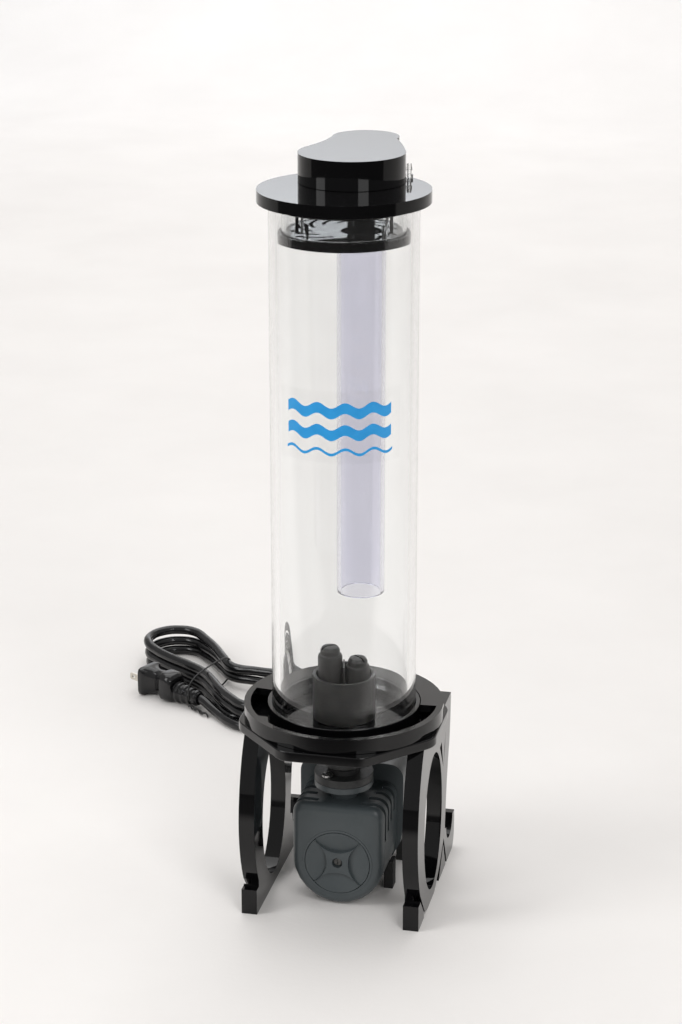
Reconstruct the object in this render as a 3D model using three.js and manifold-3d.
// Clear column reactor with a submersible pump under its base, in millimetres, +Z up.
// Every size is given from the column's axis and the floor, and the last lines move the
// group so that the origin is at the middle of the object's base.
import * as THREE from 'three'
import { mergeVertices } from 'three/addons/utils/BufferGeometryUtils.js'
import Module from 'manifold-3d'

const wasm = await Module()
wasm.setup()

// ---------------------------------------------------------------- driving dimensions
const GAP = 0.3                      // between parts that touch
const TUBE_R = 57.15                 // column tube, outside
const TUBE_WALL = 6.35
const BORE_R = TUBE_R - TUBE_WALL
const PLATE_BOTTOM = 150.7           // octagonal base plate
const PLATE_TOP = 158.8
const PLATE_HALF_X = 79.9
const PLATE_HALF_Y = 82.4
const PLATE_CORNER_X = 32.8          // ends of the plate's front edge
const PLATE_CORNER_Y = 31.5          // ends of the plate's side edges
const KEEPER_R = 79.7                // keeper ring that holds the column down
const KEEPER_BOTTOM = PLATE_TOP + GAP
const KEEPER_TOP = 171
const KEEPER_LIP = 6                 // thickness of the lip over the column's lug
const TRACK_R = 74.6                 // inside of the ring where the lug turns
const LIP_R = 61.6                   // inside of the lip that covers the rear half
const COLLAR_R = 61                  // collar glued round the foot of the tube
const LUG_R = 74.2
const FLANGE_R = 65.9                // lid
const FLANGE_BOTTOM = 575.2
const FLANGE_TOP = 584.6
const TUBE_TOP = FLANGE_BOTTOM - GAP
const SCREEN_BOTTOM = 547
const SCREEN_TOP = 553.7
const SCREEN_R = 50.2
const SLEEVE_R = 47.4                // clear sleeve between lid and screen
const SLEEVE_WALL = 3
const DOWNPIPE_X = 13.3
const DOWNPIPE_R = 18.6
const DOWNPIPE_WALL = 3
const DOWNPIPE_BOTTOM = 266.5
const BLOCK_TOP = 607.1              // outlet block on the lid
const BLOCK_LOBE_R = 41
const BLOCK_LOBE_Y = 26.5
const SPOUT_R = 26.2                 // rear lobe, over the outlet
const SPOUT_X = -3
const SPOUT_Y = 92
const BLEED_X = 40                   // small vent beside the block
const BLEED_Y = 48
const CUP_R = 25                     // inlet cup in the column's floor
const CUP_TOP = 195
const CUP_FLOOR = 171
const PLUG_ANGLE = 12.5              // degrees, line of the two jet plugs in the cup
const PLUGS = [
  { name: 'jet_plug_tall', x: -10.7, y: -2.4, top: 218.6, slotAngle: 40 },
  { name: 'jet_plug_short', x: 10.7, y: 2.4, top: 209.2, slotAngle: -38 },
]
const SPIGOT_R = 16
const SPIGOT_BORE = 12
const LEG_OUTER_X = 72.5
const LEG_LAYER = 6.35               // each leg is two glued layers of this sheet
const LEG_TOP = PLATE_BOTTOM - GAP
const PUMP_AXIS_Z = 38.6
const COVER_HALF_X = 37.6            // slotted cover at the pump's front
const COVER_TOP = 88.6
const COVER_FRONT = -25
const COVER_BACK = 30
const COVER_ROUNDING = 6.5           // round its front face
const CAP_R = 26.5                   // round cap in the cover's face
const CAP_FRONT = COVER_FRONT - 0.6
const MOTOR_HALF_X = 43
const MOTOR_TOP = 104
const MOTOR_FRONT = COVER_BACK + GAP
const MOTOR_BACK = 92
const MOTOR_AXIS_Z = 48
const VOLUTE_R = 29                  // pump chamber round the impeller
const VOLUTE_FRONT = -12
const BEARING_R = 5
const NOSE_R = 25.8                  // neck between the pump chamber and the motor block
const NOSE_FRONT = 14
const WELL_R = 14.5                  // rotor well in the motor
const WELL_END = 78.2
const ROTOR_FRONT = 18               // rotor magnet
const ROTOR_BORE = 2.1
const SHAFT_R = 2
const STATOR_R = 27
const STATOR_FRONT = 36
const STATOR_BACK = 70
const STATOR_TOP = 92
const COIL_BOTTOM = 69.6
const COIL_TOP = 81.5
const UNION_BOTTOM = 103.5           // round flange on the pump's outlet
const UNION_TOP = 110
const UNION_R = 23.8
const UNION_SCREWS = [[-10, -15.6], [10, 15.6]]
const SPIGOT_BOTTOM = 124
const RISER_R = 11
const CORD_R = 4.5
const CORD_EXIT = new THREE.Vector3(0, 130, 58)
const HANK_CENTRE = new THREE.Vector2(-212, 388)
const HANK_ANGLE = THREE.MathUtils.degToRad(-44.5)
const HANK_HALF = 83                 // half the length of its straight runs
const HANK_R = 31
const HANK_HEIGHT = 34
const HANK_BULGE = 20                // its rear runs spread this far between tie and end
const HANK_TIED = 4                  // half the length that the tie holds straight
const PLUG_PLACE = [34, 38]          // where the plug's relief starts beside the hank
const PLUG_HEADING = 153             // degrees
const PLUG_AXIS_Z = 15
const PLUG_CORD_Z = -4.5             // the cord enters low in the plug

// ---------------------------------------------------------------- materials
function material(color, roughness, metalness = 0, opacity = 1) {
  return new THREE.MeshStandardMaterial({ color, roughness, metalness, opacity, transparent: opacity < 1 })
}
const blackAcrylic = () => material(0x08090a, 0.08)
const clearAcrylic = () => material(0xf2f4f6, 0.05, 0, 0.3)
const violetAcrylic = () => material(0xdcdcf2, 0.05, 0, 0.35)
const slatePlastic = () => material(0x2f3537, 0.45)
const greyPlastic = () => material(0x3c3d3c, 0.4)
const rubber = () => material(0x131313, 0.7)
const pvc = () => material(0x101113, 0.35)
const steel = () => material(0xb9bbbd, 0.3, 1)
const copper = () => material(0xa4572c, 0.4, 1)
const magnet = () => material(0x3a3a3c, 0.6)
const ceramic = () => material(0xe8e6e0, 0.3)

// ---------------------------------------------------------------- helpers
const X = new THREE.Vector3(1, 0, 0)
const Y = new THREE.Vector3(0, 1, 0)
const Z = new THREE.Vector3(0, 0, 1)

/** A closed geometry as a solid that can be joined and cut. */
function solid(geometry) {
  const bare = geometry.index ? geometry.toNonIndexed() : geometry.clone()
  bare.deleteAttribute('normal')
  bare.deleteAttribute('uv')
  const merged = mergeVertices(bare, 1e-3)
  return new wasm.Manifold(new wasm.Mesh({
    numProp: 3,
    vertProperties: merged.attributes.position.array,
    triVerts: new Uint32Array(merged.index.array),
  }))
}

/** A solid as a named mesh of the model. */
function piece(name, body, look) {
  const mesh = body.getMesh()
  const geometry = new THREE.BufferGeometry()
  geometry.setAttribute('position', new THREE.BufferAttribute(new Float32Array(mesh.vertProperties), 3))
  geometry.setIndex(new THREE.BufferAttribute(new Uint32Array(mesh.triVerts), 1))
  geometry.computeVertexNormals()
  const part = new THREE.Mesh(geometry, look)
  part.name = name
  return part
}

const join = (first, ...rest) => rest.reduce((body, next) => body.add(next), first)
const cut = (first, ...rest) => rest.reduce((body, next) => body.subtract(next), first)

/** A profile of [radius, height] pairs, anticlockwise, turned about +Z at (x, y). */
function turned(profile, segments = 48, x = 0, y = 0) {
  const points = profile.map(([radius, height]) => new THREE.Vector2(radius, height))
  if (profile[0][0] > 0) points.push(points[0].clone())
  const geometry = new THREE.LatheGeometry(points, segments)
  return solid(geometry.rotateX(Math.PI / 2).translate(x, y, 0))
}

/** The same about the pump's axis, with the profile's height along +Y. */
function turnedAlongPump(profile, segments = 40, axisZ = PUMP_AXIS_Z) {
  const points = profile.map(([radius, y]) => new THREE.Vector2(radius, y))
  if (profile[0][0] > 0) points.push(points[0].clone())
  return solid(new THREE.LatheGeometry(points, segments).translate(0, 0, axisZ))
}

const ring = (inner, outer, low, high, segments, x, y) =>
  turned([[inner, low], [outer, low], [outer, high], [inner, high]], segments, x, y)
const rod = (radius, low, high, segments, x, y) =>
  turned([[0, low], [radius, low], [radius, high], [0, high]], segments, x, y)
const pumpRing = (inner, outer, low, high, segments) =>
  turnedAlongPump([[inner, low], [outer, low], [outer, high], [inner, high]], segments)
const pumpRod = (radius, low, high, segments) =>
  turnedAlongPump([[0, low], [radius, low], [radius, high], [0, high]], segments)

/** An O-ring of a round section. */
function oRing(radius, section, height) {
  const geometry = new THREE.TorusGeometry(radius, section, 6, 32)
  return solid(geometry.translate(0, 0, height))
}

function box(lowX, highX, lowY, highY, lowZ, highZ) {
  const geometry = new THREE.BoxGeometry(highX - lowX, highY - lowY, highZ - lowZ)
  return solid(geometry.translate((lowX + highX) / 2, (lowY + highY) / 2, (lowZ + highZ) / 2))
}

function extruded(shape, depth, curveSegments) {
  return new THREE.ExtrudeGeometry(shape, { depth, bevelEnabled: false, curveSegments })
}

/** A shape drawn in X and Y, between two heights. */
const plate = (shape, low, high, curveSegments = 12) =>
  solid(extruded(shape, high - low, curveSegments).translate(0, 0, low))

/** A shape drawn in Y and Z, between two places along X. */
function sidePlate(shape, low, high, curveSegments = 12) {
  const geometry = extruded(shape, high - low, curveSegments)
  geometry.applyMatrix4(new THREE.Matrix4().makeBasis(Y, Z, X))
  return solid(geometry.translate(low, 0, 0))
}

/** A shape drawn in X and Z, between two places along Y. */
function frontPlate(shape, low, high, curveSegments = 12) {
  const geometry = extruded(shape, high - low, curveSegments)
  geometry.applyMatrix4(new THREE.Matrix4().makeBasis(X, Z, Y.clone().negate()))
  return solid(geometry.translate(0, high, 0))
}

/** A front plate with its front edge rounded, cut square at the back. */
function roundedFront(shape, low, high, radius, curveSegments) {
  const geometry = new THREE.ExtrudeGeometry(shape, {
    depth: high - low - radius, bevelThickness: radius, bevelSize: radius, bevelOffset: -radius,
    bevelSegments: 5, curveSegments,
  })
  geometry.applyMatrix4(new THREE.Matrix4().makeBasis(X, Z, Y.clone().negate()))
  const behind = box(-100, 100, high, high + 2 * radius, -100, 200)
  return cut(solid(geometry.translate(0, high, 0)), behind)
}

function polygon(points) {
  return new THREE.Shape(points.map(([u, v]) => new THREE.Vector2(u, v)))
}

function ellipse(u, v, halfU, halfV) {
  const shape = new THREE.Shape()
  shape.absellipse(u, v, halfU, halfV, 0, Math.PI * 2, false, 0)
  return shape
}

/** A ring sector between two angles in degrees. */
function sector(inner, outer, fromDeg, toDeg) {
  const from = THREE.MathUtils.degToRad(fromDeg)
  const to = THREE.MathUtils.degToRad(toDeg)
  const shape = new THREE.Shape()
  shape.absarc(0, 0, outer, from, to, false)
  shape.absarc(0, 0, inner, to, from, true)
  return shape
}

/** A tombstone shape: a half round below the axis and a square top with round shoulders. */
function tombstone(half, axis, top, shoulder) {
  const shape = new THREE.Shape()
  shape.absarc(0, axis, half, Math.PI, Math.PI * 2, false)
  shape.absarc(half - shoulder, top - shoulder, shoulder, 0, Math.PI / 2, false)
  shape.absarc(shoulder - half, top - shoulder, shoulder, Math.PI / 2, Math.PI, false)
  return shape
}

/** A round tube of cord along a list of points. */
function cordTube(points, steps) {
  const section = new THREE.Shape()
  section.absarc(0, 0, CORD_R, 0, Math.PI * 2, false)
  const curve = new THREE.CatmullRomCurve3(points, false, 'centripetal')
  const geometry = new THREE.ExtrudeGeometry(section, {
    steps, curveSegments: 5, bevelEnabled: false, extrudePath: curve,
  })
  return solid(geometry)
}

// ---------------------------------------------------------------- lid
function screenDisc() {
  const slots = []
  const count = 12
  for (let i = 0; i < count; i += 1) {
    const turn = (i / count) * Math.PI * 2
    const arc = new THREE.Shape()
    arc.absarc(0, 0, 26.6, 0.15, 1.25, false)
    arc.absarc(0, 0, 23.6, 1.25, 0.15, true)
    const slot = extruded(arc, SCREEN_TOP - SCREEN_BOTTOM + 2, 3)
    slot.translate(14, -14, SCREEN_BOTTOM - 1).rotateZ(turn)
    slots.push(solid(slot))
  }
  const keepOut = rod(DOWNPIPE_R + 3, SCREEN_BOTTOM - 2, SCREEN_TOP + 2, 32, DOWNPIPE_X)
  const pattern = cut(join(...slots), keepOut)
  const disc = rod(SCREEN_R, SCREEN_BOTTOM, SCREEN_TOP, 60)
  const hole = rod(DOWNPIPE_R - DOWNPIPE_WALL, SCREEN_BOTTOM - 1, SCREEN_TOP + 1, 32, DOWNPIPE_X)
  return cut(disc, pattern, hole)
}

function lidSleeve() {
  const low = SCREEN_TOP + GAP
  const high = FLANGE_BOTTOM - GAP
  const sleeve = ring(SLEEVE_R - SLEEVE_WALL, SLEEVE_R, low, high, 48)
  const slots = [-121, -34, 56, 146].map((angle) => {
    const slot = new THREE.BoxGeometry(12, 5, high - low - 8)
    slot.translate(SLEEVE_R, 0, (low + high) / 2).rotateZ(THREE.MathUtils.degToRad(angle))
    return solid(slot)
  })
  return cut(sleeve, ...slots)
}

/** The comma outline of the outlet block: a wide front lobe that narrows to a rear lobe. */
function blockOutline() {
  const shape = new THREE.Shape()
  shape.absarc(0, BLOCK_LOBE_Y, BLOCK_LOBE_R, Math.PI * 0.86, Math.PI * 2.1, false)
  shape.quadraticCurveTo(33, 62, SPOUT_X + SPOUT_R, SPOUT_Y - 6)
  shape.absarc(SPOUT_X, SPOUT_Y, SPOUT_R, -0.2, Math.PI + 0.2, false)
  shape.quadraticCurveTo(-29, 66, -36.6, 46)
  return shape
}

function outletBlock() {
  const low = FLANGE_TOP + GAP
  const channel = box(-9, 9, -6, SPOUT_Y, low + 5, low + 17)
  const inlet = rod(9, low - 1, low + 12, 32)
  const outlet = rod(14.3, low - 1, low + 17, 32, SPOUT_X, SPOUT_Y)
  return cut(plate(blockOutline(), low, BLOCK_TOP, 16), channel, inlet, outlet)
}

function lid() {
  const spoutProfile = [[11, 562], [14, 562], [14, 598], [11, 598]]
  const bleedProfile = [[1, FLANGE_TOP + GAP], [3, FLANGE_TOP + GAP], [3, FLANGE_TOP + 3],
    [1.8, FLANGE_TOP + 3], [1.8, FLANGE_TOP + 6], [2.4, FLANGE_TOP + 6], [1.8, FLANGE_TOP + 11.2],
    [1, FLANGE_TOP + 11.2]]
  const throat = rod(9, FLANGE_BOTTOM - 1, FLANGE_TOP + 1, 32)
  const bleedHole = rod(1, FLANGE_BOTTOM - 1, FLANGE_TOP + 1, 12, BLEED_X, BLEED_Y)
  const pipeTop = SCREEN_BOTTOM - GAP
  return [
    piece('lid_flange', cut(rod(FLANGE_R, FLANGE_BOTTOM, FLANGE_TOP, 48), throat, bleedHole),
      blackAcrylic()),
    piece('outlet_block', outletBlock(), blackAcrylic()),
    piece('outlet_spigot', turned(spoutProfile, 32, SPOUT_X, SPOUT_Y), blackAcrylic()),
    piece('bleed_fitting', turned(bleedProfile, 16, BLEED_X, BLEED_Y), clearAcrylic()),
    piece('lid_sleeve', lidSleeve(), clearAcrylic()),
    piece('lid_seal', oRing(SLEEVE_R + 1.7, 1.4, FLANGE_BOTTOM - 3), rubber()),
    piece('screen_disc', screenDisc(), blackAcrylic()),
    piece('downpipe', ring(DOWNPIPE_R - DOWNPIPE_WALL, DOWNPIPE_R, DOWNPIPE_BOTTOM, pipeTop, 40,
      DOWNPIPE_X), violetAcrylic()),
  ]
}

// ---------------------------------------------------------------- column
function collar() {
  const low = KEEPER_BOTTOM + GAP
  const seatTop = low + 4
  const body = turned([[BORE_R, low], [COLLAR_R, low], [COLLAR_R, KEEPER_TOP],
    [TUBE_R + 0.4, KEEPER_TOP], [TUBE_R + 0.4, seatTop], [BORE_R, seatTop]], 48)
  const lug = plate(sector(COLLAR_R - 1, LUG_R, 15, 165), low, low + 5.2, 10)
  const groove = ring(53.2, 56.8, low - 1, low + 2.4, 48)
  return cut(join(body, lug), groove)
}

function column() {
  const seat = KEEPER_BOTTOM + GAP + 4 + GAP
  return [
    piece('column_tube', ring(BORE_R, TUBE_R, seat, TUBE_TOP, 48), clearAcrylic()),
    piece('column_collar', collar(), blackAcrylic()),
    piece('column_seal', oRing(55, 1.2, KEEPER_BOTTOM + 1.2), rubber()),
  ]
}

// ---------------------------------------------------------------- base
function basePlate() {
  const shape = new THREE.Shape()
  const corners = [[PLATE_HALF_X, -PLATE_CORNER_Y], [PLATE_HALF_X, PLATE_CORNER_Y],
    [PLATE_CORNER_X, PLATE_HALF_Y], [-PLATE_CORNER_X, PLATE_HALF_Y],
    [-PLATE_HALF_X, PLATE_CORNER_Y], [-PLATE_HALF_X, -PLATE_CORNER_Y],
    [-PLATE_CORNER_X, -PLATE_HALF_Y], [PLATE_CORNER_X, -PLATE_HALF_Y]]
  const soften = 0.12
  corners.forEach(([x, y], i) => {
    const [lastX, lastY] = corners[(i + 7) % 8]
    const [nextX, nextY] = corners[(i + 1) % 8]
    const inX = x + (lastX - x) * soften
    const inY = y + (lastY - y) * soften
    if (i === 0) shape.moveTo(inX, inY)
    else shape.lineTo(inX, inY)
    shape.quadraticCurveTo(x, y, x + (nextX - x) * soften, y + (nextY - y) * soften)
  })
  const hole = rod(SPIGOT_R + GAP, PLATE_BOTTOM - 1, PLATE_TOP + 1, 32)
  return cut(plate(shape, PLATE_BOTTOM, PLATE_TOP, 5), hole)
}

function keeperRing() {
  const lipBottom = KEEPER_TOP - KEEPER_LIP
  const track = ring(TRACK_R, KEEPER_R, KEEPER_BOTTOM, lipBottom, 48)
  const top = ring(LIP_R, KEEPER_R, lipBottom - 0.01, KEEPER_TOP, 48)
  const opening = plate(sector(LIP_R - 2, TRACK_R, 173, 363), lipBottom - 1, KEEPER_TOP + 1, 14)
  return cut(join(track, top), opening)
}

/** One layer of a leg, drawn in Y and Z: the full outline with its window and rear hook. */
function legOutline() {
  const shape = new THREE.Shape()
  shape.moveTo(-54, 0)
  shape.lineTo(98, 0)
  shape.quadraticCurveTo(106, 3, 107, 16)
  shape.lineTo(107, 32)
  shape.lineTo(99, 32)
  shape.absarc(83.5, 33, 15, 0, Math.PI, true)
  shape.lineTo(61.5, 36)
  shape.quadraticCurveTo(67.5, 84, 77, 106)
  shape.quadraticCurveTo(82, 128, 82, LEG_TOP)
  shape.lineTo(-38, LEG_TOP)
  shape.quadraticCurveTo(-57, 124, -60, 84)
  shape.quadraticCurveTo(-60.5, 52, -46.5, 27)
  shape.lineTo(-46.5, 21.5)
  shape.lineTo(-54, 21.5)
  return shape
}

/** The patterned outer layer leaves slots round the oval, the toe and the heel. */
function outerLayerSlots() {
  const toeGap = polygon([[-62, 27], [-46.5, 27.5], [-26, 3.5], [-13, -1], [-30, -1], [-31, 6],
    [-48.5, 25], [-62, 25]])
  const heelGap = polygon([[57, 29], [38, 12], [14, -1], [35, -1], [55.5, 24], [66.5, 1], [67, -1],
    [72, -1], [71, 2.5]])
  const upperGapFront = polygon([[34, 121], [41, 123], [50, 97.5]])
  const upperGapBack = polygon([[51.4, 98.5], [56.4, 112], [58.8, 124], [54.6, 112]])
  return [toeGap, heelGap, upperGapFront, upperGapBack]
}

function leg(side) {
  const inner = side * (LEG_OUTER_X - 2 * LEG_LAYER)
  const middle = side * (LEG_OUTER_X - LEG_LAYER)
  const outer = side * LEG_OUTER_X
  const low = Math.min(inner, outer)
  const high = Math.max(inner, outer)
  const window = sidePlate(ellipse(6.7, 68.5, 38.8, 58.5), low - 1, high + 1, 20)
  const slotLow = Math.min(middle, outer + side)
  const slotHigh = Math.max(middle, outer + side)
  const slots = outerLayerSlots().map((shape) => sidePlate(shape, slotLow, slotHigh))
  return cut(sidePlate(legOutline(), low, high, 8), window, ...slots)
}

function inletCup() {
  const low = KEEPER_BOTTOM
  const cup = turned([[0, low], [CUP_R, low], [CUP_R, CUP_TOP], [CUP_R - 2.6, CUP_TOP],
    [CUP_R - 2.6, CUP_FLOOR], [0, CUP_FLOOR]], 36)
  const spigot = rod(SPIGOT_R, SPIGOT_BOTTOM, low + 1, 32)
  const bore = rod(SPIGOT_BORE, SPIGOT_BOTTOM - 1, CUP_FLOOR - 8, 24)
  const fin = box(-0.7, 0.7, -9, 9, CUP_FLOOR - 1, CUP_TOP + 8).rotate([0, 0, PLUG_ANGLE])
  const stemHoles = PLUGS.map(({ x, y }) => rod(5.1, CUP_FLOOR - 9, CUP_FLOOR + 1, 20, x, y))
  const jets = [-1, 1].map((side) =>
    rod(2, CUP_FLOOR - 9, CUP_FLOOR + 1, 8, 0, 11 * side).rotate([0, 0, PLUG_ANGLE]))
  return cut(join(cup, spigot, fin), bore, ...stemHoles, ...jets)
}

function bulkheadNut() {
  const low = 136
  const high = PLATE_BOTTOM - 2.6
  return cut(rod(24.5, low, high, 8), rod(SPIGOT_R + GAP, low - 1, high + 1, 32))
}

function base() {
  return [
    piece('base_plate', basePlate(), blackAcrylic()),
    piece('keeper_ring', keeperRing(), blackAcrylic()),
    piece('leg_left', leg(-1), blackAcrylic()),
    piece('leg_right', leg(1), blackAcrylic()),
    piece('inlet_cup', inletCup(), greyPlastic()),
    piece('bulkhead_gasket', ring(SPIGOT_R + GAP, 24, PLATE_BOTTOM - 2.3, PLATE_BOTTOM - GAP, 32), rubber()),
    piece('bulkhead_nut', bulkheadNut(), greyPlastic()),
  ]
}

// ---------------------------------------------------------------- adjustable jet plugs
function jetPlug({ x, y, top, slotAngle }) {
  const seat = CUP_FLOOR + GAP
  const body = turned([[0, CUP_FLOOR - 6], [5, CUP_FLOOR - 6], [5, seat], [9.8, seat],
    [9.8, top - 9], [9.2, top - 7.4], [7.8, top - 6.6], [7.8, top - 3.4], [6.4, top - 1],
    [3.5, top], [0, top]], 24, x, y)
  const slot = new THREE.BoxGeometry(20, 1.8, 6)
  slot.rotateZ(THREE.MathUtils.degToRad(slotAngle)).translate(x, y, top)
  return cut(body, solid(slot))
}

// ---------------------------------------------------------------- pump
function pumpCover() {
  const wall = 3
  const outer = roundedFront(tombstone(COVER_HALF_X, PUMP_AXIS_Z, COVER_TOP, 10),
    COVER_FRONT, COVER_BACK, COVER_ROUNDING, 6)
  const hollow = roundedFront(tombstone(COVER_HALF_X - wall, PUMP_AXIS_Z, COVER_TOP - wall, 8),
    COVER_FRONT + wall, COVER_BACK + 1, COVER_ROUNDING - wall, 5)
  const lip = pumpRing(CAP_R + 0.5, CAP_R + 2.3, COVER_FRONT - 0.4, COVER_FRONT + 1, 36)
  const face = pumpRod(CAP_R + 0.5, COVER_FRONT - 1, COVER_FRONT + wall + 1, 36)
  const outlet = rod(RISER_R + GAP, COVER_TOP - wall - 1, COVER_TOP + 1, 32)
  const slots = []
  for (let i = 0; i < 4; i += 1) {
    const y = -15 + i * 11.5
    const reach = 20 - i * 3.4
    for (const side of [-1, 1]) {
      const inner = side * (COVER_HALF_X - reach)
      const outside = side * (COVER_HALF_X + 2)
      slots.push(box(Math.min(inner, outside), Math.max(inner, outside), y - 2.4, y + 2.4,
        COVER_TOP - 32 + i * 4, COVER_TOP + 1))
    }
  }
  return join(cut(outer, hollow, face, outlet, ...slots), lip)
}

function intakeCap() {
  const scoopR = 21.7                // four round scoops leave a star with concave sides
  const scoopOut = 30.7
  const rimR = 24
  const tilt = THREE.MathUtils.degToRad(11)
  const disc = pumpRod(CAP_R, CAP_FRONT, CAP_FRONT + 6, 36)
  const scoops = [0, 1, 2, 3].map((quarter) => {
    const scoop = new THREE.CylinderGeometry(scoopR, scoopR, 10, 40)
    scoop.translate(0, -5, scoopOut - rimR).rotateX(tilt).translate(0, 0, rimR)
    scoop.rotateY(quarter * Math.PI / 2).translate(0, CAP_FRONT, PUMP_AXIS_Z)
    return solid(scoop)
  })
  const hub = pumpRod(4.3, CAP_FRONT - 1, CAP_FRONT + 4, 24)
  const thread = pumpRod(1.6, CAP_FRONT + 3, CAP_FRONT + 7, 12)
  return cut(disc, ...scoops, hub, thread)
}

function capScrew() {
  const head = pumpRod(3, CAP_FRONT + 2.2, CAP_FRONT + 3.7, 20)
  const slot = box(-0.6, 0.6, CAP_FRONT, CAP_FRONT + 3, PUMP_AXIS_Z - 5, PUMP_AXIS_Z + 5)
  return join(cut(head, slot), pumpRod(1.4, CAP_FRONT + 3, CAP_FRONT + 6, 12))
}

function volute() {
  const wall = 2.6
  const back = NOSE_FRONT - 3
  const shell = pumpRing(VOLUTE_R - wall, VOLUTE_R, VOLUTE_FRONT, back, 32)
  const face = pumpRing(8, VOLUTE_R - 1, VOLUTE_FRONT, VOLUTE_FRONT + wall, 32)
  const spokes = [0, 1, 2].map((third) => {
    const spoke = new THREE.BoxGeometry(1.6, wall, 4)
    spoke.translate(0, VOLUTE_FRONT + wall / 2, 7.6).rotateY(third * Math.PI * 2 / 3)
    return solid(spoke.translate(0, 0, PUMP_AXIS_Z))
  })
  const hub = pumpRing(BEARING_R + GAP, 6.6, VOLUTE_FRONT, VOLUTE_FRONT + wall, 20)
  const riser = rod(RISER_R, PUMP_AXIS_Z + 20, UNION_BOTTOM - GAP, 32)
  const bore = rod(RISER_R - wall, PUMP_AXIS_Z + 20, UNION_BOTTOM + 1, 32)
  const chamber = pumpRod(VOLUTE_R - wall, VOLUTE_FRONT + wall, back + 9, 32)
  const topFlange = ring(RISER_R - wall, UNION_R, UNION_BOTTOM - 5, UNION_BOTTOM - GAP, 32)
  const screwHoles = UNION_SCREWS.map(([x, y]) => rod(2.3, UNION_BOTTOM - 6, UNION_BOTTOM, 12, x, y))
  return cut(join(shell, face, hub, ...spokes, cut(riser, chamber), topFlange), bore, ...screwHoles)
}

function impeller() {
  const hub = pumpRing(ROTOR_BORE, 6, -5, ROTOR_FRONT - GAP, 24)
  const disc = pumpRing(ROTOR_BORE, 22, 5, 7.4, 32)
  const blades = []
  for (let i = 0; i < 6; i += 1) {
    const blade = new THREE.BoxGeometry(16.5, 11, 1.8)
    blade.translate(13, 0, 3).rotateY(i * Math.PI / 3).translate(0, 0, PUMP_AXIS_Z)
    blades.push(solid(blade))
  }
  return join(hub, disc, ...blades)
}

function motorShell() {
  const wall = 3
  const outline = tombstone(MOTOR_HALF_X, MOTOR_AXIS_Z, MOTOR_TOP, 12)
  const inside = tombstone(MOTOR_HALF_X - wall, MOTOR_AXIS_Z, MOTOR_TOP - wall, 10)
  const shell = cut(frontPlate(outline, MOTOR_FRONT, MOTOR_BACK - 4 - GAP, 5),
    frontPlate(inside, MOTOR_FRONT + wall, MOTOR_BACK, 5))
  const mouth = pumpRod(NOSE_R - 3, MOTOR_FRONT - 1, MOTOR_FRONT + wall + 1, 32)
  const nose = pumpRing(WELL_R, VOLUTE_R, NOSE_FRONT, NOSE_FRONT + wall, 32)
  const neck = pumpRing(NOSE_R - 3, NOSE_R, NOSE_FRONT + wall - 1, MOTOR_FRONT + 1, 32)
  const well = pumpRing(WELL_R, WELL_R + 1.8, NOSE_FRONT + 1, WELL_END + 2, 24)
  const wellEnd = pumpRod(WELL_R + 1, WELL_END, WELL_END + 2, 24)
  const socket = pumpRing(6.3, 8.5, WELL_END - 5, WELL_END + 1, 24)
  const sideRibs = [-1, 1].map((side) =>
    box(side < 0 ? -MOTOR_HALF_X + 1 : STATOR_R + GAP, side < 0 ? -STATOR_R - GAP : MOTOR_HALF_X - 1,
      STATOR_FRONT + 6, STATOR_BACK - 6, MOTOR_AXIS_Z - 4, MOTOR_AXIS_Z + 4))
  const topRib = box(-10, 10, STATOR_FRONT + 6, STATOR_BACK - 6, STATOR_TOP + GAP, MOTOR_TOP - 1)
  return join(cut(shell, mouth), nose, neck, well, wellEnd, socket, ...sideRibs, topRib)
}

function motorBack() {
  const outline = tombstone(MOTOR_HALF_X, MOTOR_AXIS_Z, MOTOR_TOP, 12)
  const cover = frontPlate(outline, MOTOR_BACK - 4, MOTOR_BACK, 5)
  const hole = new THREE.CylinderGeometry(CORD_R + 0.6, CORD_R + 0.6, 10, 20)
  hole.translate(0, MOTOR_BACK - 2, CORD_EXIT.z)
  return cut(cover, solid(hole))
}

function statorCore() {
  const bore = WELL_R + 2.3
  const round = pumpRod(STATOR_R, STATOR_FRONT, STATOR_BACK, 32)
  const yoke = box(-STATOR_R, STATOR_R, STATOR_FRONT, STATOR_BACK, PUMP_AXIS_Z, STATOR_TOP)
  const windingWindow = box(-14, 14, STATOR_FRONT - 1, STATOR_BACK + 1, COIL_BOTTOM - 1, COIL_TOP + 1)
  return cut(join(round, yoke), windingWindow, pumpRod(bore, STATOR_FRONT - 1, STATOR_BACK + 1, 32))
}

function coil(side) {
  const middle = side * 20.5
  const slack = 6.5 + GAP
  const outer = box(middle - 12.5, middle + 12.5, STATOR_FRONT - 2, STATOR_BACK + 3, COIL_BOTTOM, COIL_TOP)
  const inner = box(middle - slack, middle + slack, STATOR_FRONT - GAP, STATOR_BACK + GAP,
    COIL_BOTTOM - 1, COIL_TOP + 1)
  return cut(outer, inner)
}

function foot(side, y, half, axis) {
  const inner = side * 30.5
  const outer = side * 38
  const block = box(Math.min(inner, outer), Math.max(inner, outer), y - 6, y + 6, 0, 24)
  const clearance = solid(new THREE.CylinderGeometry(half + GAP, half + GAP, 30, 48).translate(0, y, axis))
  return cut(block, clearance)
}

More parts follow.
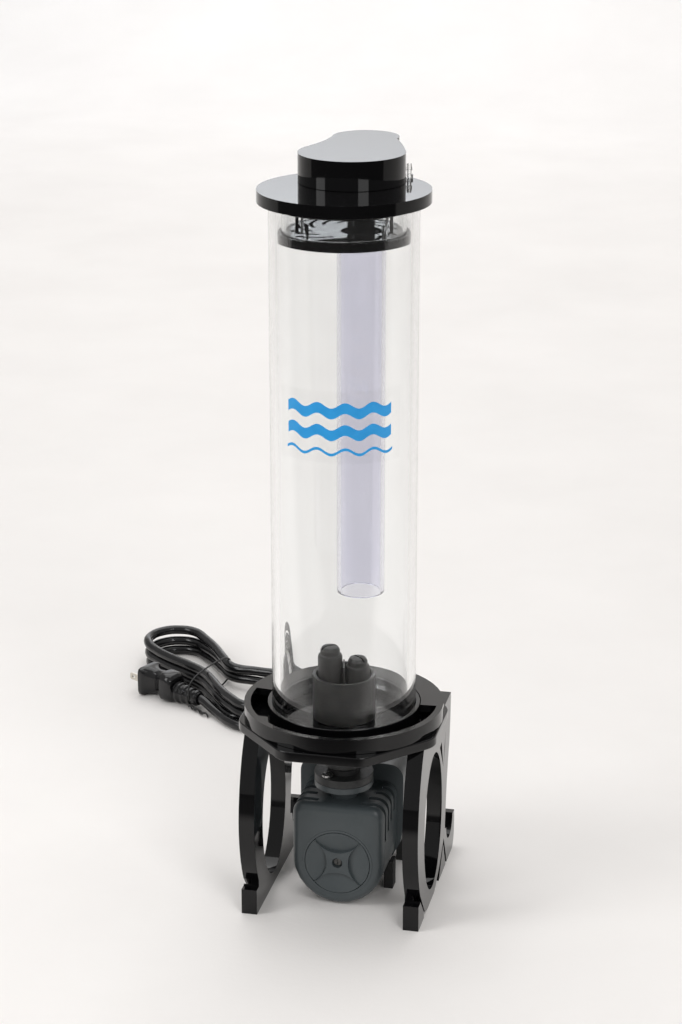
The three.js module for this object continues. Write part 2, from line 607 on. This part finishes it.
function unionFlange() {
  const bore = RISER_R - 2.6
  const flange = ring(bore, UNION_R, UNION_BOTTOM, UNION_TOP, 32)
  const socket = turned([[bore, UNION_TOP - 1], [13.2, UNION_TOP - 1], [13.2, UNION_TOP + 4],
    [15.6, UNION_TOP + 6], [15.6, SPIGOT_BOTTOM - GAP], [bore, SPIGOT_BOTTOM - GAP]], 32)
  const holes = UNION_SCREWS.map(([x, y]) => rod(2.3, UNION_BOTTOM - 1, UNION_TOP + 1, 12, x, y))
  return cut(join(flange, socket), ...holes)
}

function unionScrew([x, y]) {
  const low = UNION_TOP + GAP
  const body = turned([[0, UNION_BOTTOM - 5], [2, UNION_BOTTOM - 5], [2, low], [4.6, low],
    [4.6, low + 1.6], [3, low + 3], [0, low + 3]], 24, x, y)
  const slot = new THREE.BoxGeometry(12, 1.2, 3)
  slot.rotateZ(THREE.MathUtils.degToRad(-48)).translate(x, y, low + 3)
  return cut(body, solid(slot))
}

function pump() {
  const coverParts = [
    piece('pump_cover', pumpCover(), slatePlastic()),
    piece('volute', volute(), slatePlastic()),
    piece('volute_seal', solid(new THREE.TorusGeometry(27.6, 1.2, 6, 28).rotateX(Math.PI / 2)
      .translate(0, NOSE_FRONT - 1.5, PUMP_AXIS_Z)), rubber()),
    piece('union_flange', unionFlange(), greyPlastic()),
    piece('union_screw_front', unionScrew(UNION_SCREWS[0]), steel()),
    piece('union_screw_rear', unionScrew(UNION_SCREWS[1]), steel()),
    piece('motor_shell', motorShell(), slatePlastic()),
    piece('motor_back_cover', motorBack(), slatePlastic()),
    piece('stator_core', statorCore(), steel()),
    piece('coil_left', coil(-1), copper()),
    piece('coil_right', coil(1), copper()),
    piece('rotor_shaft', pumpRod(SHAFT_R, VOLUTE_FRONT + 1, WELL_END - GAP, 24), ceramic()),
    piece('front_bearing', pumpRing(SHAFT_R + GAP, BEARING_R, VOLUTE_FRONT, VOLUTE_FRONT + 5, 24),
      ceramic()),
    piece('rear_bearing', pumpRing(SHAFT_R + GAP, 6, WELL_END - 5, WELL_END - GAP, 24), rubber()),
  ]
  const feet = [
    ['pump_foot_front_left', -1, 20, COVER_HALF_X, PUMP_AXIS_Z],
    ['pump_foot_front_right', 1, 20, COVER_HALF_X, PUMP_AXIS_Z],
    ['pump_foot_rear_left', -1, 72, MOTOR_HALF_X, MOTOR_AXIS_Z],
    ['pump_foot_rear_right', 1, 72, MOTOR_HALF_X, MOTOR_AXIS_Z],
  ].map(([name, side, y, half, axis]) => piece(name, foot(side, y, half, axis), rubber()))
  return [
    ...coverParts,
    ...feet,
    piece('intake_cap', intakeCap(), slatePlastic()),
    piece('intake_cap_screw', capScrew(), steel()),
    piece('impeller', impeller(), greyPlastic()),
    piece('rotor_magnet', pumpRing(ROTOR_BORE, 12.6, ROTOR_FRONT, STATOR_BACK, 32), magnet()),
  ]
}

// ---------------------------------------------------------------- mains cord, hank and plug
/** A point by the hank: u along its runs towards the object, v towards the plug's side. */
function hankPoint(u, v, z = 0) {
  const x = HANK_CENTRE.x + u * Math.cos(HANK_ANGLE) + v * Math.sin(HANK_ANGLE)
  const y = HANK_CENTRE.y + u * Math.sin(HANK_ANGLE) - v * Math.cos(HANK_ANGLE)
  return new THREE.Vector3(x, y, z)
}

/** Solids drawn along the hank's own axes, moved to where the hank lies. */
function besideHank(body, u = 0, v = 0) {
  const place = hankPoint(u, v)
  return body.rotate([0, 0, THREE.MathUtils.radToDeg(HANK_ANGLE)]).translate([place.x, place.y, 0])
}

function cordGland() {
  const profile = [[CORD_R + 0.4, MOTOR_BACK + GAP], [9.5, MOTOR_BACK + GAP], [9.5, MOTOR_BACK + 5],
    [8, MOTOR_BACK + 6], [6.2, CORD_EXIT.y - 1], [CORD_R + 0.4, CORD_EXIT.y - 1]]
  return turnedAlongPump(profile, 24, CORD_EXIT.z)
}

function cordLead() {
  const floor = CORD_R + 0.1
  const points = [
    [0, MOTOR_BACK - 1, CORD_EXIT.z], [0, 112, CORD_EXIT.z], [0, 130, 58], [-1, 147, 54], [-4, 164, 43],
    [-10, 181, 28], [-18, 197, 14], [-28, 214, 6.5], [-40, 233, floor], [-56, 256, floor],
    [-74, 279, floor], [-93, 300, floor],
  ].map(([x, y, z]) => new THREE.Vector3(x, y, z))
  points.push(hankPoint(HANK_HALF + 33, -18, floor))
  return cordTube(points, 34)
}

function cordTail() {
  const out = HANK_R + CORD_R + 0.6
  const points = []
  for (let degrees = 30; degrees <= 90; degrees += 15) {
    const angle = THREE.MathUtils.degToRad(degrees)
    points.push(hankPoint(HANK_HALF + out * Math.cos(angle), out * Math.sin(angle), CORD_R + 0.1))
  }
  points.push(hankPoint(68, out, CORD_R + 0.6), hankPoint(52, out + 0.3, 7))
  points.push(plugPoint(0), plugPoint(10), plugPoint(24))
  return cordTube(points, 16)
}

function hank() {
  const shape = new THREE.Shape()
  shape.absarc(HANK_HALF, 0, HANK_R, -Math.PI / 2, Math.PI / 2, false)
  shape.quadraticCurveTo(HANK_HALF / 2, HANK_R + 2 * HANK_BULGE, HANK_TIED, HANK_R)
  shape.absarc(-HANK_HALF, 0, HANK_R, Math.PI / 2, Math.PI * 1.5, false)
  return besideHank(plate(shape, 0.1, HANK_HEIGHT, 12))
}

/** The wire tie over the hank, open where it lies on the floor. */
function cordTie() {
  const half = HANK_R + GAP
  const top = HANK_HEIGHT + GAP
  const wire = 1.6
  const strap = cut(box(-wire / 2, wire / 2, -half - wire, half + wire, 0.1, top + wire),
    box(-wire, wire, -half, half, -1, top))
  return besideHank(strap)
}

/** Plug pieces are drawn with +X from the cord towards the blades. */
function besidePlug(body) {
  const place = hankPoint(...PLUG_PLACE, PLUG_AXIS_Z)
  return body.rotate([0, 0, PLUG_HEADING]).translate([place.x, place.y, place.z])
}

/** A point of the cord's centre line inside the plug's relief. */
function plugPoint(along) {
  const heading = THREE.MathUtils.degToRad(PLUG_HEADING)
  const place = hankPoint(...PLUG_PLACE, PLUG_AXIS_Z + PLUG_CORD_Z)
  return place.add(new THREE.Vector3(along * Math.cos(heading), along * Math.sin(heading), 0))
}

function plugRelief() {
  const geometry = new THREE.LatheGeometry([[CORD_R + 0.3, 0], [6.8, 0], [10.2, 29], [CORD_R + 0.3, 29],
    [CORD_R + 0.3, 0]].map(([radius, along]) => new THREE.Vector2(radius, along)), 20)
  return besidePlug(solid(geometry.rotateZ(-Math.PI / 2)).translate([2, 0, PLUG_CORD_Z]))
}

function plugBody() {
  const shape = polygon([[31.4, -9.5], [34, -11.5], [47, -11.5], [58, -7.5], [66, -11], [66, -14],
    [72, -14], [72, 14], [66, 14], [66, 11], [58, 7.5], [47, 11.5], [34, 11.5], [31.4, 9.5]])
  const body = solid(extruded(shape, 28, 4).translate(0, 0, -14.5))
  const socket = solid(new THREE.CylinderGeometry(CORD_R, CORD_R, 8, 16).rotateZ(Math.PI / 2)
    .translate(34, 0, PLUG_CORD_Z))
  return besidePlug(cut(body, socket))
}

function plugBlade(side) {
  const halfHeight = side > 0 ? 3.2 : 3.9
  const v = side * 6.35
  return besidePlug(box(72.3, 88, v - 0.75, v + 0.75, -halfHeight - 0.5, halfHeight - 0.5))
}

function cord() {
  return [
    piece('cord_gland', cordGland(), pvc()),
    piece('cord_lead', cordLead(), pvc()),
    piece('cord_hank', hank(), pvc()),
    piece('cord_tail', cordTail(), pvc()),
    piece('cord_tie', cordTie(), rubber()),
    piece('plug_relief', plugRelief(), pvc()),
    piece('plug_body', plugBody(), pvc()),
    piece('plug_blade_live', plugBlade(1), steel()),
    piece('plug_blade_neutral', plugBlade(-1), steel()),
  ]
}

// ---------------------------------------------------------------- the whole reactor
const reactor = new THREE.Group()
reactor.add(...lid(), ...column(), ...base(), ...pump(), ...cord())
reactor.add(...PLUGS.map((plug) => piece(plug.name, jetPlug(plug), greyPlastic())))
reactor.position.y = (PLATE_HALF_Y - (SPOUT_Y + SPOUT_R)) / 2
const object = new THREE.Group()
object.add(reactor)

export default object
